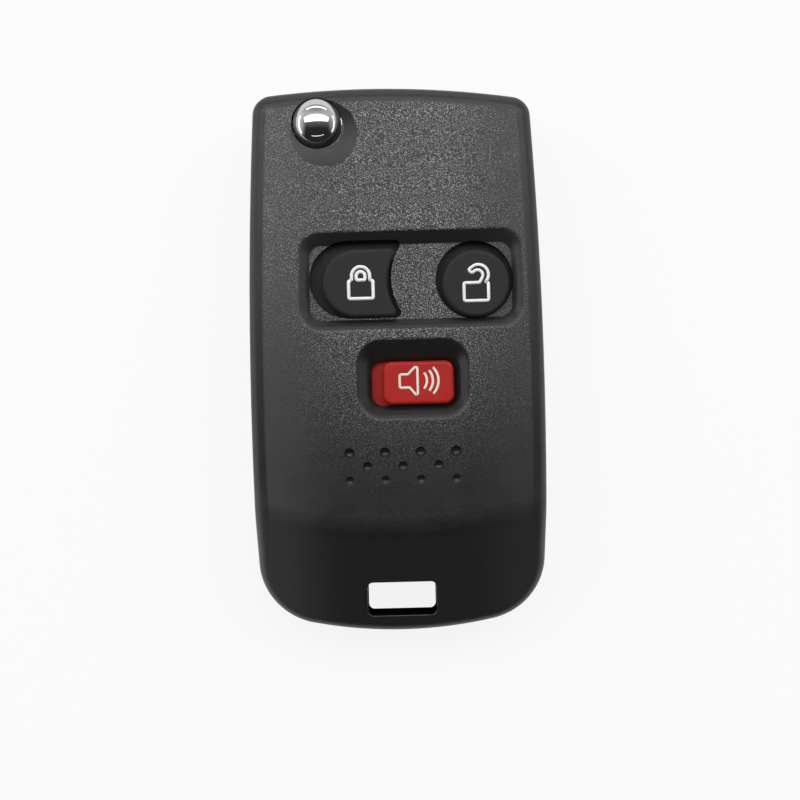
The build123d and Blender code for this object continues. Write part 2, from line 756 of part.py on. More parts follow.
# Flip spring, which turns the head and lifts the button
coil_bottom_z = cap_floor_z + cap_floor + seat_gap + spring_wire / 2
coil_top_z = spring_top_z - seat_gap - spring_wire / 2
with BuildPart() as flip_spring:
    with BuildLine() as coil:
        Helix(
            (coil_top_z - coil_bottom_z) / spring_turns,
            coil_top_z - coil_bottom_z,
            spring_radius,
            center=(pivot_x, pivot_y, coil_bottom_z),
        )
    with BuildSketch(Plane(origin=coil.line @ 0, z_dir=coil.line % 0)):
        Circle(spring_wire / 2)
    sweep()
    for leg_z, leg_length in ((coil_bottom_z, -spring_leg), (coil_top_z, spring_leg)):
        with BuildSketch(Plane.XY.offset(leg_z)):
            with Locations((pivot_x + spring_radius, pivot_y)):
                Circle(spring_leg_wire / 2)
        extrude(amount=leg_length)
flip_spring.part.label = "flip_spring"
export_step(flip_spring.part, "parts/flip_spring.step")

# Spring cap, keyed into the rear cover; the head turns on its rim
cap_bottom_z = head_bottom_z - head_gap - cap_flange_height
with BuildPart() as spring_cap:
    with BuildSketch(Plane.XY.offset(cap_bottom_z)):
        with Locations(pivot):
            Circle(cap_flange_radius)
            Rectangle(cap_flat_width, 3 * cap_flange_radius, mode=Mode.INTERSECT)
    extrude(amount=cap_flange_height)
    with BuildSketch(Plane.XY.offset(cap_bottom_z)):
        with Locations(pivot):
            Circle(button_radius)
    extrude(amount=cap_rim_z - cap_bottom_z)
    with BuildSketch(Plane.XY.offset(cap_bottom_z)):
        with Locations(pivot):
            Circle(screw_chamber_radius)
    extrude(amount=cap_floor_z - cap_bottom_z, mode=Mode.SUBTRACT)
    with BuildSketch(Plane.XY.offset(cap_floor_z + cap_floor)):
        with Locations(pivot):
            Circle(button_radius - cap_wall)
    extrude(amount=cap_rim_z, mode=Mode.SUBTRACT)
    with BuildSketch(Plane.XY.offset(cap_floor_z)):
        with Locations(pivot):
            Circle(stem_radius + running_gap)
        with Locations((pivot_x + spring_radius, pivot_y)):
            Circle(spring_wire / 2 + seat_gap)
    extrude(amount=cap_floor, mode=Mode.SUBTRACT)
spring_cap.part.label = "spring_cap"
export_step(spring_cap.part, "parts/spring_cap.step")

# Thrust washer between the rear cover and the head
with BuildPart() as thrust_washer:
    with BuildSketch(Plane.XY.offset(head_bottom_z - head_gap)):
        with Locations(pivot):
            Circle(washer_radius)
            Circle(button_radius + seat_gap, mode=Mode.SUBTRACT)
    extrude(amount=washer_thickness)
thrust_washer.part.label = "thrust_washer"
export_step(thrust_washer.part, "parts/thrust_washer.step")

# Flip head, which holds the blade and turns about the pivot
with BuildPart() as flip_head:
    with BuildSketch(Plane.XY.offset(head_bottom_z)):
        add(head_profile())
    extrude(amount=head_height)
    fillet(flip_head.edges().filter_by(Axis.Z, reverse=True), head_edge)
    with BuildSketch(Plane.XY.offset(head_top_z)):
        with Locations(pivot):
            Circle(collar_radius)
    extrude(amount=collar_height)
    with BuildSketch(Plane.XY.offset(lug_top_z - lug_height - button_travel - running_gap)):
        with Locations(pivot):
            Rectangle(2 * (collar_radius + running_gap), lug_width + 2 * seat_gap)
    extrude(amount=head_height, mode=Mode.SUBTRACT)
    with BuildSketch(Plane.XY.offset(head_bottom_z)):
        with Locations(pivot):
            Circle(button_radius + running_gap)
    extrude(amount=head_height + collar_height, mode=Mode.SUBTRACT)
    with BuildSketch(Plane.XY.offset(head_bottom_z)):
        with Locations(pivot):
            Circle(washer_radius + running_gap)
    extrude(amount=washer_thickness - head_gap + running_gap, mode=Mode.SUBTRACT)
    # Slot for the blade's tang and the hole for its pin
    with BuildSketch(Plane.XY.offset(blade_z - blade_thickness / 2 - seat_gap)):
        with Locations((blade_x, blade_root_y)):
            Rectangle(
                tang_width + 2 * seat_gap, tang_length + seat_gap, align=(Align.CENTER, Align.MIN)
            )
    extrude(amount=blade_thickness + 2 * seat_gap, mode=Mode.SUBTRACT)
    with BuildSketch(Plane.XY.offset(head_bottom_z)):
        with Locations((blade_x, blade_root_y + tang_length / 2)):
            Circle(pin_radius)
    extrude(amount=head_height, mode=Mode.SUBTRACT)
flip_head.part.label = "flip_head"
export_step(flip_head.part, "parts/flip_head.step")

# Uncut blade with a groove along each side
with BuildPart() as key_blade:
    with BuildSketch(Plane.XY.offset(blade_z - blade_thickness / 2)) as blade_sketch:
        with Locations((blade_x, blade_root_y)):
            Rectangle(blade_width, blade_length, align=(Align.CENTER, Align.MAX))
        chamfer(blade_sketch.vertices().group_by(Axis.Y)[0], blade_tip)
        with Locations((blade_x, blade_root_y)):
            Rectangle(tang_width, tang_length, align=(Align.CENTER, Align.MIN))
    extrude(amount=blade_thickness)
    long_edges = key_blade.edges().filter_by(Axis.Y).filter_by(lambda edge: edge.length > blade_length / 2)
    chamfer(long_edges, blade_edge)
    for side in (1, -1):
        with BuildSketch(Plane.XY.offset(blade_z + side * blade_thickness / 2)):
            with Locations((blade_x + side * groove_offset, blade_root_y - groove_start)):
                Rectangle(groove_width, blade_length, align=(Align.CENTER, Align.MAX))
            with Locations((blade_x + side * groove_offset, blade_root_y - groove_start)):
                Circle(groove_width / 2)
        extrude(amount=-side * groove_depth, mode=Mode.SUBTRACT)
    with BuildSketch(Plane.XY.offset(blade_z - blade_thickness / 2)):
        with Locations((blade_x, blade_root_y + tang_length / 2)):
            Circle(pin_radius)
    extrude(amount=blade_thickness, mode=Mode.SUBTRACT)
key_blade.part.label = "key_blade"
export_step(key_blade.part, "parts/key_blade.step")

# Rolled pin through the head and the tang
with BuildPart() as blade_pin:
    with BuildSketch(Plane.XY.offset(head_bottom_z + head_edge / 2)):
        with Locations((blade_x, blade_root_y + tang_length / 2)):
            Circle(pin_radius)
            Circle(pin_radius - pin_wall, mode=Mode.SUBTRACT)
            Rectangle(pin_radius, pin_slit, align=(Align.MIN, Align.CENTER), mode=Mode.SUBTRACT)
    extrude(amount=head_height - head_edge)
blade_pin.part.label = "blade_pin"
export_step(blade_pin.part, "parts/blade_pin.step")


def pan_screw(x, y, seat_z, head_radius, head_height, radius, length):
    """A cross-recessed screw, head down, that points up from its seat."""
    with BuildPart() as screw:
        with BuildSketch(Plane.XY.offset(seat_z)):
            with Locations((x, y)):
                Circle(head_radius)
        extrude(amount=-head_height)
        chamfer(screw.faces().sort_by(Axis.Z)[0].edges(), head_height / 3)
        with BuildSketch(Plane.XY.offset(seat_z)):
            with Locations((x, y)):
                Circle(radius)
        extrude(amount=length)
        with BuildSketch(Plane.XY.offset(seat_z - head_height)):
            with Locations((x, y)):
                Rectangle(head_radius * 1.2, drive_width)
                Rectangle(drive_width, head_radius * 1.2)
        extrude(amount=head_height * 0.6, mode=Mode.SUBTRACT)
    return screw.part


# Case screws, two in the tail and one beside the flip head
for number, (x, y) in enumerate(case_screw_places, 1):
    with BuildPart() as case_screw:
        add(pan_screw(x, y, screw_seat_z, screw_head_radius, screw_head_height, screw_radius, screw_length))
    case_screw.part.label = f"case_screw_{number}"
    export_step(case_screw.part, f"parts/case_screw_{number}.step")

# Tray screws, up into the front cover's bosses
for number, (x, y) in enumerate(tray_screw_places, 1):
    with BuildPart() as tray_screw:
        add(
            pan_screw(
                x, y, tray_z + tray_screw_head_height, tray_screw_head_radius,
                tray_screw_head_height, tray_screw_radius, tray_screw_length - tray_screw_head_height,
            )
        )
    tray_screw.part.label = f"tray_screw_{number}"
    export_step(tray_screw.part, f"parts/tray_screw_{number}.step")
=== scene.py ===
from math import cos, pi, radians, sin

import bmesh
import bpy
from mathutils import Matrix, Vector


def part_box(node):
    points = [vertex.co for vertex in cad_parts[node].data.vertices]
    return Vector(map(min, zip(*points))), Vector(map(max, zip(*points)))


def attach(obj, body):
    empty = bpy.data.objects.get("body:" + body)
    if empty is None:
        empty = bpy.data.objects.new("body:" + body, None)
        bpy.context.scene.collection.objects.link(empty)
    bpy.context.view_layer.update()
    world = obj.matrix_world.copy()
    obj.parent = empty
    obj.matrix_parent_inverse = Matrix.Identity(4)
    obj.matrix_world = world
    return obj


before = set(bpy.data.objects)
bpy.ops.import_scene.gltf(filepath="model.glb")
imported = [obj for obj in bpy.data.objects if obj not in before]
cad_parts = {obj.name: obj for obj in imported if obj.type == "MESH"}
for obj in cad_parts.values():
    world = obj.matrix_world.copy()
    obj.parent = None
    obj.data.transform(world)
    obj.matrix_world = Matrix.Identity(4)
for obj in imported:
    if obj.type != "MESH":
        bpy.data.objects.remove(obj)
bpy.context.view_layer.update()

MM = 0.001


# Sizes of the key, in millimetres

# The outline from above: centre x and y, and radius, of the left, right, head and tail arcs
OUTLINE = ((-680.125, -5.6, 700.0), (680.125, -5.6, 700.0), (-3.5, -89.935, 127.0), (0.0, 22.935, 60.0))

# The face is a shallow crown, an arc along the key
CROWN_Y, CROWN_Z, CROWN_RADIUS = 3.4, -484.0, 500.0

# The recess round the lock and unlock buttons: the height of its floor, and where the grain stops in it
RECESS_FLOOR = 14.7
RECESS_GRAIN_END = 3.1

# The key-ring slot: its middle, and how far its dull walls reach from there across, along and upwards
SLOT_MIDDLE = (-0.1, -32.465, 6.6)
SLOT_ACROSS, SLOT_ALONG, SLOT_UP = 5.0, 2.5, 2.9

# Tops of the rubber caps, and the print on them
CAP_TOP = 15.55
PANIC_TOP = 15.05
INK_MIDDLE = 0.005
INK_HEIGHT = 0.05
SIGN_CORNER = 0.22


# Sizes of the scene round the key, in metres and degrees

CAMERA_HEIGHT = 0.260
CAMERA_TURN = -1.45
FLOOR_REACH = 2
LAMPS_AIM = Vector((0, 0, 0.01))


# Node helpers

def add(tree, kind, inputs=None, **settings):
    """A new node with its settings and inputs; an input given as a socket is linked."""
    made = tree.nodes.new(kind)
    for name, value in settings.items():
        setattr(made, name, value)
    for name, value in (inputs or {}).items():
        if isinstance(value, bpy.types.NodeSocket):
            tree.links.new(value, made.inputs[name])
        else:
            made.inputs[name].default_value = value
    return made


def calc(tree, operation, *values):
    """The result of one Math node."""
    return add(tree, "ShaderNodeMath", dict(enumerate(values)), operation=operation).outputs[0]


def product(tree, first, *others):
    """Several values multiplied together."""
    for other in others:
        first = calc(tree, "MULTIPLY", first, other)
    return first


def near(tree, value, limit):
    """1 where a value is within a limit of zero, 0 elsewhere."""
    return calc(tree, "LESS_THAN", calc(tree, "ABSOLUTE", value), limit)


def ramp(tree, value, low, high, start=0.0, end=1.0):
    """A value carried smoothly from one range to another."""
    scaled = add(
        tree, "ShaderNodeMapRange",
        {"Value": value, "From Min": low, "From Max": high, "To Min": start, "To Max": end},
        interpolation_type="SMOOTHSTEP",
    )
    return scaled.outputs["Result"]


def distance(tree, point, centre):
    """How far a point is from a centre given in millimetres."""
    centre = tuple(c * MM for c in centre)
    return add(tree, "ShaderNodeVectorMath", {0: point, 1: centre}, operation="DISTANCE").outputs["Value"]


def blend_colours(tree, factor, first, second):
    """A colour between two, by a factor."""
    mixed = add(tree, "ShaderNodeMix", data_type="RGBA")
    for socket, value in ((mixed.inputs[0], factor), (mixed.inputs[6], first), (mixed.inputs[7], second)):
        if isinstance(value, bpy.types.NodeSocket):
            tree.links.new(value, socket)
        else:
            socket.default_value = value
    return mixed.outputs[2]


def new_finish(name):
    """A material with its shader, its tree and the object coordinates."""
    finish = bpy.data.materials.new(name)
    finish.use_nodes = True
    tree = finish.node_tree
    shader = tree.nodes["Principled BSDF"]
    place = add(tree, "ShaderNodeTexCoord").outputs["Object"]
    return finish, tree, shader, place


def noise(tree, place, size, detail=2.0, rough=0.5):
    """A noise whose features are about size millimetres across."""
    made = add(
        tree, "ShaderNodeTexNoise",
        {"Vector": place, "Scale": 1 / (size * MM), "Detail": detail, "Roughness": rough},
    )
    return made.outputs["Fac"]


def relief(tree, shader, height, depth):
    """A bump of the given depth in millimetres on a shader."""
    bump = add(tree, "ShaderNodeBump", {"Height": height, "Distance": depth * MM, "Strength": 1.0})
    tree.links.new(bump.outputs["Normal"], shader.inputs["Normal"])


# The case's plastic

def inset_from_outline(tree, x, y):
    """How far a point lies inside the case's outline, seen from above."""
    flat = add(tree, "ShaderNodeCombineXYZ", {"X": x, "Y": y}).outputs[0]
    inset = None
    for centre_x, centre_y, radius in OUTLINE:
        gap = calc(tree, "SUBTRACT", radius * MM, distance(tree, flat, (centre_x, centre_y, 0)))
        inset = gap if inset is None else calc(tree, "MINIMUM", inset, gap)
    return inset


def grained_flats(tree, inside, y, z):
    """Where the case is grained: on the face as far as its edge, the recess floor and the back."""
    profile = add(tree, "ShaderNodeCombineXYZ", {"Y": y, "Z": z}).outputs[0]
    height = distance(tree, profile, (0, CROWN_Y, CROWN_Z))
    depth = calc(tree, "SUBTRACT", CROWN_RADIUS * MM, height)
    fade = ramp(tree, y, -20 * MM, -16 * MM, 0.35 * MM, 0.07 * MM)
    on_face = calc(tree, "SUBTRACT", 1.0, ramp(tree, calc(tree, "DIVIDE", depth, fade), 0.3, 1.0))
    floor_gap = calc(tree, "ABSOLUTE", calc(tree, "SUBTRACT", z, RECESS_FLOOR * MM))
    in_recess = calc(tree, "GREATER_THAN", y, RECESS_GRAIN_END * MM)
    on_floor = product(tree, ramp(tree, floor_gap, 0.02 * MM, 0.05 * MM, 1.0, 0.0), in_recess)
    on_back = ramp(tree, z, 0.01 * MM, 0.03 * MM, 1.0, 0.0)
    flats = calc(tree, "MAXIMUM", calc(tree, "MAXIMUM", on_face, on_floor), on_back)
    return product(tree, inside, flats)


def unworn_share(tree, x, y):
    """How much of the grain wear has left: most round the buttons, little at the tail and long sides."""
    at_left_side = ramp(tree, y, -2 * MM, 22 * MM, 0.12, 0.52)
    from_left = ramp(tree, x, -17 * MM, -3 * MM, at_left_side, 1.0)
    from_right = ramp(tree, x, 6 * MM, 17 * MM, 1.0, 0.30)
    from_tail = ramp(tree, y, -18 * MM, 8 * MM, 0.05, 1.0)
    return product(tree, from_left, from_right, from_tail)


def case_black_with_painted_light(tree, x, y, inside, polish):
    """Cloudy black, with painted shade that darkens the tail's slope and a painted sheen that makes it paler
    towards the long sides, on the face and round the tail.
    """
    black = blend_colours(tree, polish, (0.0062, 0.0063, 0.0065, 1), (0.0088, 0.0089, 0.0092, 1))
    # Painted shade: a darker black on the tail's slope, standing in for the shade of a slope that faces away
    # from the lamps
    slope_shade = ramp(tree, y, -19 * MM, -27 * MM)
    black = blend_colours(tree, slope_shade, black, (0.0054, 0.0054, 0.0055, 1))
    # Painted sheen: a paler black towards the left and right sides, on the face and over the tail, standing
    # in for light from the side
    left = ramp(tree, x, -18 * MM, -7 * MM, 1.0, 0.0)
    right = ramp(tree, x, 9 * MM, 18 * MM, 0.0, 0.40)
    sheen_area = calc(tree, "MAXIMUM", inside, ramp(tree, y, -14 * MM, -24 * MM))
    painted_side_sheen = product(tree, calc(tree, "ADD", left, right), sheen_area)
    # The paler colour of the painted sheen
    return blend_colours(tree, painted_side_sheen, black, (0.036, 0.0361, 0.0366, 1))


def case_shine(tree, place):
    """The shader's specular level: its usual 0.5, and nothing on the walls of the key-ring slot."""
    middle = tuple(c * MM for c in SLOT_MIDDLE)
    from_slot = add(tree, "ShaderNodeVectorMath", {0: place, 1: middle}, operation="SUBTRACT")
    x, y, z = add(tree, "ShaderNodeSeparateXYZ", {"Vector": from_slot.outputs["Vector"]}).outputs
    below_rim = calc(tree, "LESS_THAN", z, SLOT_UP * MM)
    walls = product(tree, near(tree, x, SLOT_ACROSS * MM), near(tree, y, SLOT_ALONG * MM), below_rim)
    return calc(tree, "SUBTRACT", 0.5, product(tree, walls, 0.5))


def case_plastic():
    """Black plastic with grain on its flats, pale painted glints in its colour there, and satin on the edges,
    walls and tail.
    """
    finish, tree, shader, place = new_finish("case_plastic")
    x, y, z = add(tree, "ShaderNodeSeparateXYZ", {"Vector": place}).outputs
    inside = ramp(tree, inset_from_outline(tree, x, y), 1.70 * MM, 2.1 * MM)
    grained = grained_flats(tree, inside, y, z)
    strength = product(tree, grained, unworn_share(tree, x, y))
    coarse = noise(tree, place, 0.155, 2.0, 0.8)
    fine = noise(tree, place, 0.09, 1.0, 0.5)
    grain = calc(tree, "ADD", product(tree, coarse, 0.7), product(tree, fine, 0.3))
    polish = noise(tree, place, 2.4, 2.0)
    soft = product(tree, noise(tree, place, 0.12, 2.0), 0.03)
    relief(tree, shader, calc(tree, "ADD", product(tree, grain, strength), soft), 0.05)
    # Painted glints: pale specks in the base colour where the grain stands high, standing in for the grain
    # catching the light
    painted_glints = product(tree, ramp(tree, grain, 0.52, 0.61), strength)
    colour = blend_colours(tree, painted_glints, case_black_with_painted_light(tree, x, y, inside, polish), (0.47, 0.47, 0.472, 1))
    tree.links.new(colour, shader.inputs["Base Color"])
    satin = ramp(tree, polish, 0.2, 0.8, 0.38, 0.46)
    rough = calc(tree, "ADD", satin, product(tree, grained, 0.04))
    tree.links.new(rough, shader.inputs["Roughness"])
    tree.links.new(case_shine(tree, place), shader.inputs["Specular IOR Level"])
    return finish


# The other finishes

def cloudy(tree, shader, cloud, dark, light):
    """A base colour that varies between two with a cloud of noise."""
    tree.links.new(blend_colours(tree, cloud, (*dark, 1), (*light, 1)), shader.inputs["Base Color"])


def uneven_gloss(tree, shader, cloud, low, high, smooth, dull):
    """A roughness that varies between two values as the cloud goes from low to high."""
    tree.links.new(ramp(tree, cloud, low, high, smooth, dull), shader.inputs["Roughness"])


def plain_plastic(name, dark, light, rough, grain_size, grain_depth):
    """A moulded plastic with a faint grain and uneven gloss."""
    finish, tree, shader, place = new_finish(name)
    cloud = noise(tree, place, 3.0, 3.0)
    cloudy(tree, shader, cloud, dark, light)
    uneven_gloss(tree, shader, cloud, 0.25, 0.75, rough - 0.05, rough + 0.06)
    relief(tree, shader, noise(tree, place, grain_size, 3.0, 0.6), grain_depth)
    return finish


def rubber(name, dark, light, rough):
    """Silicone rubber: smooth, a little cloudy, with a soft sheen."""
    finish, tree, shader, place = new_finish(name)
    cloud = noise(tree, place, 1.8, 3.0)
    cloudy(tree, shader, cloud, dark, light)
    uneven_gloss(tree, shader, cloud, 0.3, 0.7, rough - 0.03, rough + 0.05)
    shader.inputs["Sheen Weight"].default_value = 0.05
    shader.inputs["Sheen Roughness"].default_value = 0.5
    shader.inputs["Specular IOR Level"].default_value = 0.32
    relief(tree, shader, noise(tree, place, 0.16, 2.0, 0.6), 0.004)
    return finish


def metal(name, dark, light, rough, streak, grain_depth):
    """Metal with a lay: noise drawn out along one direction, which varies tone, gloss and surface."""
    finish, tree, shader, place = new_finish(name)
    drawn = add(tree, "ShaderNodeMapping", {"Vector": place, "Scale": streak}).outputs[0]
    lay = noise(tree, drawn, 0.5, 4.0, 0.6)
    cloudy(tree, shader, lay, dark, light)
    uneven_gloss(tree, shader, lay, 0.25, 0.75, rough * 0.8, rough * 1.25)
    shader.inputs["Metallic"].default_value = 1.0
    relief(tree, shader, lay, grain_depth)
    return finish


def print_ink(name, colour):
    """Printed ink, slightly uneven in tone and gloss."""
    finish, tree, shader, place = new_finish(name)
    cloud = noise(tree, place, 0.5, 2.0)
    cloudy(tree, shader, cloud, tuple(0.86 * c for c in colour), colour)
    uneven_gloss(tree, shader, cloud, 0.3, 0.7, 0.45, 0.6)
    return finish


FINISHES = {
    "case_plastic": case_plastic(),
    "tray_plastic": plain_plastic(
        "tray_plastic", (0.020, 0.020, 0.021), (0.028, 0.028, 0.029), 0.5, 0.25, 0.012),
    "head_plastic": plain_plastic(
        "head_plastic", (0.012, 0.012, 0.013), (0.017, 0.017, 0.018), 0.34, 0.3, 0.008),
    "nylon": plain_plastic("nylon", (0.62, 0.60, 0.54), (0.72, 0.70, 0.64), 0.45, 0.4, 0.006),
    "black_rubber": rubber("black_rubber", (0.0125, 0.0125, 0.0128), (0.0165, 0.0165, 0.0168), 0.58),
    "red_rubber": rubber("red_rubber", (0.40, 0.0095, 0.006), (0.46, 0.014, 0.0095), 0.42),
    "chrome": metal(
        "chrome", (0.56, 0.565, 0.575), (0.61, 0.615, 0.62), 0.06, (0.5, 0.5, 0.5), 0.0004),
    "spring_steel": metal(
        "spring_steel", (0.42, 0.42, 0.43), (0.58, 0.58, 0.59), 0.26, (1.0, 1.0, 0.3), 0.0012),
    "screw_steel": metal(
        "screw_steel", (0.10, 0.10, 0.105), (0.17, 0.17, 0.175), 0.34, (1.0, 1.0, 1.0), 0.004),
    "blade_steel": metal(
        "blade_steel", (0.54, 0.53, 0.515), (0.63, 0.62, 0.60), 0.30, (4.0, 0.12, 4.0), 0.0006),
    "white_ink": print_ink("white_ink", (0.97, 0.97, 0.97)),
    "cream_ink": print_ink("cream_ink", (1.0, 0.86, 0.75)),
}

NODE_FINISHES = {
    "front_cover": "case_plastic", "rear_cover": "case_plastic", "board_tray": "tray_plastic",
    "flip_head": "head_plastic", "spring_cap": "nylon", "thrust_washer": "nylon",
    "keypad_web": "black_rubber", "lock_button": "black_rubber", "unlock_button": "black_rubber",
    "panic_button": "red_rubber", "release_button": "chrome", "flip_spring": "spring_steel",
    "key_blade": "blade_steel", "blade_pin": "spring_steel", "stem_screw": "screw_steel",
    "case_screw_1": "screw_steel", "case_screw_2": "screw_steel", "case_screw_3": "screw_steel",
    "tray_screw_1": "screw_steel", "tray_screw_2": "screw_steel",
}

for node_name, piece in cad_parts.items():
    piece.data.materials.clear()
    piece.data.materials.append(FINISHES[NODE_FINISHES[node_name]])


# Pieces that geometry nodes make

def named_inputs(tree, inputs, output):
    """Gives a geometry tree its named inputs and its output, and returns the inputs' sockets."""
    for name, kind in inputs:
        tree.interface.new_socket(name, in_out="INPUT", socket_type="NodeSocket" + kind)
    tree.interface.new_socket(output, in_out="OUTPUT", socket_type="NodeSocketGeometry")
    return tree.nodes.new("NodeGroupInput").outputs


def swept(tree, curve, section):
    """A profile swept along a curve, upright and with its ends closed."""
    upright = add(tree, "GeometryNodeSetCurveNormal", {"Curve": curve}, mode="Z_UP").outputs[0]
    return add(
        tree, "GeometryNodeCurveToMesh", {"Curve": upright, "Profile Curve": section, "Fill Caps": True}
    ).outputs[0]


def end_tree(tree, geometry, material):
    """Ends a geometry tree: its instances are made real and get their material."""
    real = add(tree, "GeometryNodeRealizeInstances", {"Geometry": geometry}).outputs[0]
    finished = add(tree, "GeometryNodeSetMaterial", {"Geometry": real, "Material": material}).outputs[0]
    tree.links.new(finished, tree.nodes.new("NodeGroupOutput").inputs[0])
    return tree


def shaped(name, points, edges, tree, values):
    """The plain mesh that a geometry tree makes from points and edges in metres."""
    guide = bpy.data.meshes.new(name + "_guide")
    guide.from_pydata(points, edges, [])
    piece = bpy.data.objects.new(name, guide)
    bpy.context.scene.collection.objects.link(piece)
    modifier = piece.modifiers.new("grow", "NODES")
    modifier.node_group = tree
    for socket in tree.interface.items_tree:
        if socket.in_out == "INPUT" and socket.name in values:
            modifier[socket.identifier] = values[socket.name]
    evaluated = piece.evaluated_get(bpy.context.evaluated_depsgraph_get())
    result = bpy.data.meshes.new_from_object(evaluated)
    piece.modifiers.clear()
    piece.data = result
    form = bmesh.new()
    form.from_mesh(result)
    bmesh.ops.recalc_face_normals(form, faces=form.faces)
    form.to_mesh(result)
    form.free()
    return piece


# Signs on the button caps, printed strokes that follow given lines

def stroke_tree():
    """Geometry nodes that turn lines into flat strokes with rounded corners."""
    tree = bpy.data.node_groups.new("printed_stroke", "GeometryNodeTree")
    given = named_inputs(
        tree, (("Lines", "Geometry"), ("Width", "Float"), ("Height", "Float"), ("Corner", "Float"),
               ("Ink", "Material")), "Strokes",
    )
    curve = add(tree, "GeometryNodeMeshToCurve", {"Mesh": given["Lines"]}).outputs[0]
    eased = add(
        tree, "GeometryNodeFilletCurve",
        {"Curve": curve, "Radius": given["Corner"], "Count": 4, "Limit Radius": True}, mode="POLY",
    ).outputs[0]
    section = add(
        tree, "GeometryNodeCurvePrimitiveQuadrilateral",
        {"Width": given["Width"], "Height": given["Height"]}, mode="RECTANGLE",
    ).outputs[0]
    return end_tree(tree, swept(tree, eased, section), given["Ink"])


STROKES = stroke_tree()


def arc(centre, radius, start, end, steps=12):
    """Points along an arc, given in degrees."""
    turns = [radians(start + (end - start) * i / steps) for i in range(steps + 1)]
    return [(centre[0] + radius * cos(t), centre[1] + radius * sin(t)) for t in turns]


def grown(name, lines, tree, values):
    """The plain mesh that a geometry tree makes from lines; each line is its points and whether it closes."""
    points, edges = [], []
    for line, closed in lines:
        first = len(points)
        points += [Vector(p) * MM for p in line]
        edges += [(first + i, first + i + 1) for i in range(len(line) - 1)]
        if closed:
            edges.append((first + len(line) - 1, first))
    return shaped(name, points, edges, tree, values)


def sign(name, body, lines, level, width, ink):
    """A printed sign on a cap, from lines in the plane of the cap's top."""
    raised = [([(x, y, level + INK_MIDDLE) for x, y in line], closed) for line, closed in lines]
    values = {
        "Width": width * MM, "Height": INK_HEIGHT * MM, "Corner": SIGN_CORNER * MM, "Ink": FINISHES[ink],
    }
    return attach(grown(name, raised, STROKES, values), body)


lock_x, lock_y = -4.62, 9.83
lock_body = [
    (lock_x - 1.22, lock_y + 1.20), (lock_x - 1.64, lock_y + 1.20), (lock_x - 1.64, lock_y - 1.22),
    (lock_x + 1.64, lock_y - 1.22), (lock_x + 1.64, lock_y + 1.20), (lock_x + 1.22, lock_y + 1.20),
]
lock_bow = arc((lock_x, lock_y + 1.84), 1.22, 0, 180)
lock_sill = [(lock_x - 0.59, lock_y + 1.27), (lock_x + 0.59, lock_y + 1.27)]
lock_eye = lock_sill + arc((lock_x, lock_y + 1.80), 0.59, 0, 180)
sign("lock_sign", "lock", [(lock_body + lock_bow, True), (lock_eye, True)], CAP_TOP, 0.43, "white_ink")

open_x, open_y = 10.88, 9.15
open_body = [
    (open_x + 0.46, open_y + 1.22), (open_x - 1.64, open_y + 1.22), (open_x - 1.64, open_y - 1.20),
    (open_x + 1.64, open_y - 1.20), (open_x + 1.64, open_y + 1.20), (open_x + 1.19, open_y + 1.22),
]
open_bow = (
    arc((open_x + 0.32, open_y + 2.28), 1.36, -40, 116, 14) + [(open_x - 1.04, open_y + 2.96)]
    + [(open_x - 0.52, open_y + 2.54)] + arc((open_x + 0.22, open_y + 2.22), 0.70, 128, -38, 10)
)
sign("unlock_sign", "unlock", [(open_body + open_bow, True)], CAP_TOP, 0.40, "white_ink")

speaker = [
    (0.28, -1.75), (1.42, -1.75), (2.34, -0.79), (2.70, -0.79),
    (2.70, -4.49), (2.42, -4.49), (1.60, -3.53), (0.28, -3.53),
]
waves = [
    (arc((centre, -2.63), radius, -spread, spread, 8), False)
    for centre, radius, spread in ((2.30, 1.66, 40), (2.64, 2.12, 40), (2.98, 2.54, 44))
]
sign("panic_sign", "panic", [(speaker, True)] + waves, PANIC_TOP, 0.33, "cream_ink")


# Threads on the screws, a ridge wound up each shank from a little above its head

def thread_tree():
    """Geometry nodes that wind a ridge round the Z axis through the guide's only point."""
    tree = bpy.data.node_groups.new("screw_thread", "GeometryNodeTree")
    given = named_inputs(
        tree, (("Place", "Geometry"), ("Radius", "Float"), ("Length", "Float"), ("Turns", "Float"),
               ("Ridge", "Float"), ("Metal", "Material")), "Thread",
    )
    winding = add(
        tree, "GeometryNodeCurveSpiral",
        {"Resolution": 24, "Rotations": given["Turns"], "Start Radius": given["Radius"],
         "End Radius": given["Radius"], "Height": given["Length"]},
    ).outputs[0]
    section = add(
        tree, "GeometryNodeCurvePrimitiveCircle", {"Resolution": 4, "Radius": given["Ridge"]}, mode="RADIUS"
    ).outputs[0]
    ridge = swept(tree, winding, section)
    placed = add(
        tree, "GeometryNodeInstanceOnPoints", {"Points": given["Place"], "Instance": ridge}
    ).outputs[0]
    return end_tree(tree, placed, given["Metal"])


THREADS = thread_tree()


def screw_thread(screw, body, shank, plain, tip, pitch, ridge):
    """A thread round a screw's shank, between its plain neck and its tip; the ridge is sunk a little."""
    low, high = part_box(screw)
    start = low[2] + plain * MM
    length = high[2] - tip * MM - start
    values = {
        "Radius": (shank - 0.3 * ridge) * MM, "Length": length, "Turns": length / (pitch * MM),
        "Ridge": ridge / 2 * MM, "Metal": FINISHES["screw_steel"],
    }
    centre = ((low[0] + high[0]) / 2, (low[1] + high[1]) / 2, start)
    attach(shaped(screw + "_thread", [centre], [], THREADS, values), body)


for case_screw in ("case_screw_1", "case_screw_2", "case_screw_3"):
    screw_thread(case_screw, "case", shank=1.0, plain=3.1, tip=0.5, pitch=0.5, ridge=0.22)
for tray_screw in ("tray_screw_1", "tray_screw_2"):
    screw_thread(tray_screw, "case", shank=0.7, plain=1.45, tip=0.3, pitch=0.35, ridge=0.16)
screw_thread("stem_screw", "release", shank=0.6, plain=1.0, tip=0.3, pitch=0.3, ridge=0.14)


# Camera, over the middle of the key, with the small turn of the photograph

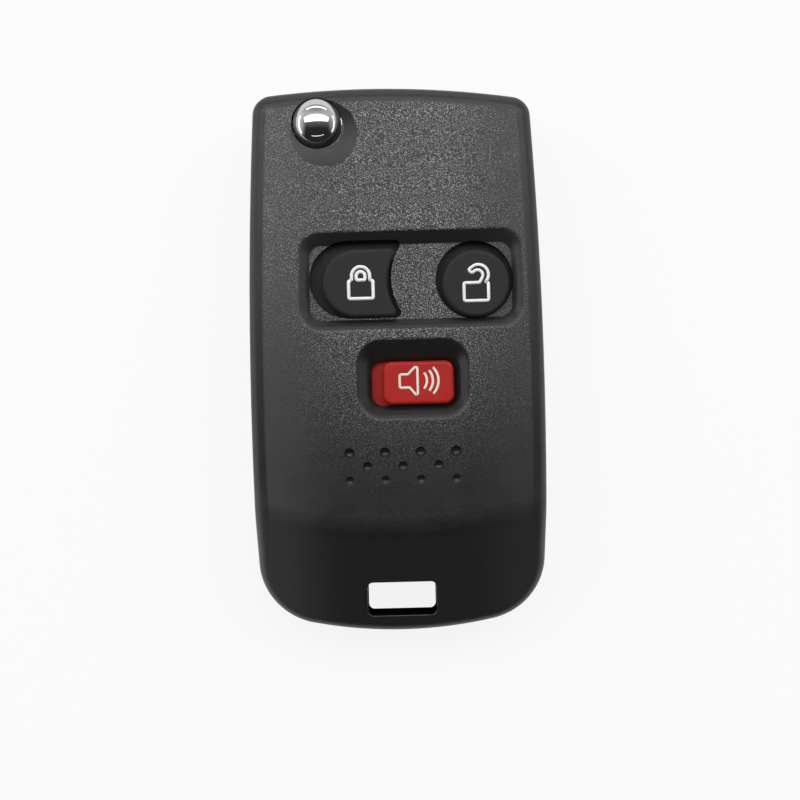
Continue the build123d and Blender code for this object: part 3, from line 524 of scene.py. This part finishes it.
camera = bpy.data.objects.new("camera", bpy.data.cameras.new("camera"))
bpy.context.scene.collection.objects.link(camera)
camera.location = (0, 0, CAMERA_HEIGHT)
camera.rotation_euler = (0, 0, radians(CAMERA_TURN))
camera.data.sensor_width = 36.0
camera.data.lens = 81.9
camera.data.clip_start = 0.01
camera.data.shift_x = 0.0036
camera.data.shift_y = -0.0478
bpy.context.scene.camera = camera


# Floor, which shows white and keeps the soft shadow

def floor_finish():
    """A pale floor that mostly glows for the camera and in reflections, so that it shows white."""
    finish, tree, shader, place = new_finish("pale_floor")
    cloudy(tree, shader, noise(tree, place, 60.0, 2.0), (0.80, 0.80, 0.80), (0.83, 0.83, 0.83))
    shader.inputs["Roughness"].default_value = 0.7
    shader.inputs["Specular IOR Level"].default_value = 0.2
    rays = add(tree, "ShaderNodeLightPath").outputs
    mirrored = calc(tree, "MAXIMUM", rays["Is Glossy Ray"], rays["Is Transmission Ray"])
    seen = calc(tree, "MAXIMUM", rays["Is Camera Ray"], mirrored)
    glow = add(tree, "ShaderNodeEmission", {"Color": (1, 1, 1, 1), "Strength": 1.0}).outputs[0]
    glow_share = product(tree, seen, 0.88)
    mixed = add(tree, "ShaderNodeMixShader", {0: glow_share, 1: shader.outputs[0], 2: glow}).outputs[0]
    tree.links.new(mixed, tree.nodes["Material Output"].inputs["Surface"])
    return finish


floor_corners = [(x * FLOOR_REACH, y * FLOOR_REACH, 0) for x, y in ((-1, -1), (1, -1), (1, 1), (-1, 1))]
floor_mesh = bpy.data.meshes.new("floor")
floor_mesh.from_pydata(floor_corners, [], [(0, 1, 2, 3)])
floor_mesh.materials.append(floor_finish())
floor = bpy.data.objects.new("floor", floor_mesh)
bpy.context.scene.collection.objects.link(floor)


# Light: a wide window above the head end, a thin one at each side, head and tail, and a soft sky

def soft_panel(name, place, size, radiance):
    """A rectangular lamp that faces the key, and that the camera itself doesn't see."""
    lamp = bpy.data.lights.new(name, "AREA")
    lamp.shape = "RECTANGLE"
    lamp.size, lamp.size_y = size
    lamp.energy = radiance * size[0] * size[1] * pi
    panel = bpy.data.objects.new(name, lamp)
    panel.location = place
    panel.rotation_euler = (LAMPS_AIM - Vector(place)).to_track_quat("-Z", "Y").to_euler()
    panel.visible_camera = False
    bpy.context.scene.collection.objects.link(panel)


soft_panel("window", (0.0, 0.235, 0.50), (1.40, 0.30), 2.5)
soft_panel("head_window", (0.0, 0.47, 0.12), (0.60, 0.045), 5.6)
soft_panel("left_strip", (-0.46, 0.02, 0.075), (0.50, 0.045), 4.0)
soft_panel("right_strip", (0.46, 0.02, 0.075), (0.50, 0.045), 2.6)
soft_panel("low_window", (0.02, -0.40, 0.28), (0.46, 0.016), 3.0)


def soft_sky():
    """A grey sky that is brighter at the left, at the right and round the window."""
    world = bpy.data.worlds.new("soft_sky")
    world.use_nodes = True
    sky = world.node_tree
    direction = add(sky, "ShaderNodeTexCoord").outputs["Generated"]
    side, ahead = add(sky, "ShaderNodeSeparateXYZ", {"Vector": direction}).outputs[:2]
    left = ramp(sky, side, -0.70, -1.0, 0.0, 0.55)
    right = ramp(sky, side, 0.75, 1.0, 0.0, 0.30)
    round_window = product(sky, ramp(sky, ahead, 0.05, 0.60), ramp(sky, ahead, 0.62, 1.0, 0.55, 0.18))
    sides_and_window = calc(sky, "ADD", calc(sky, "ADD", left, right), round_window)
    tone = calc(sky, "ADD", sides_and_window, ramp(sky, ahead, -0.45, 0.1, 0.03, 0.16))
    sky.links.new(tone, sky.nodes["Background"].inputs["Strength"])
    sky.nodes["Background"].inputs["Color"].default_value = (1, 1, 1, 1)
    return world


bpy.context.scene.world = soft_sky()
bpy.context.scene.view_settings.view_transform = "Standard"
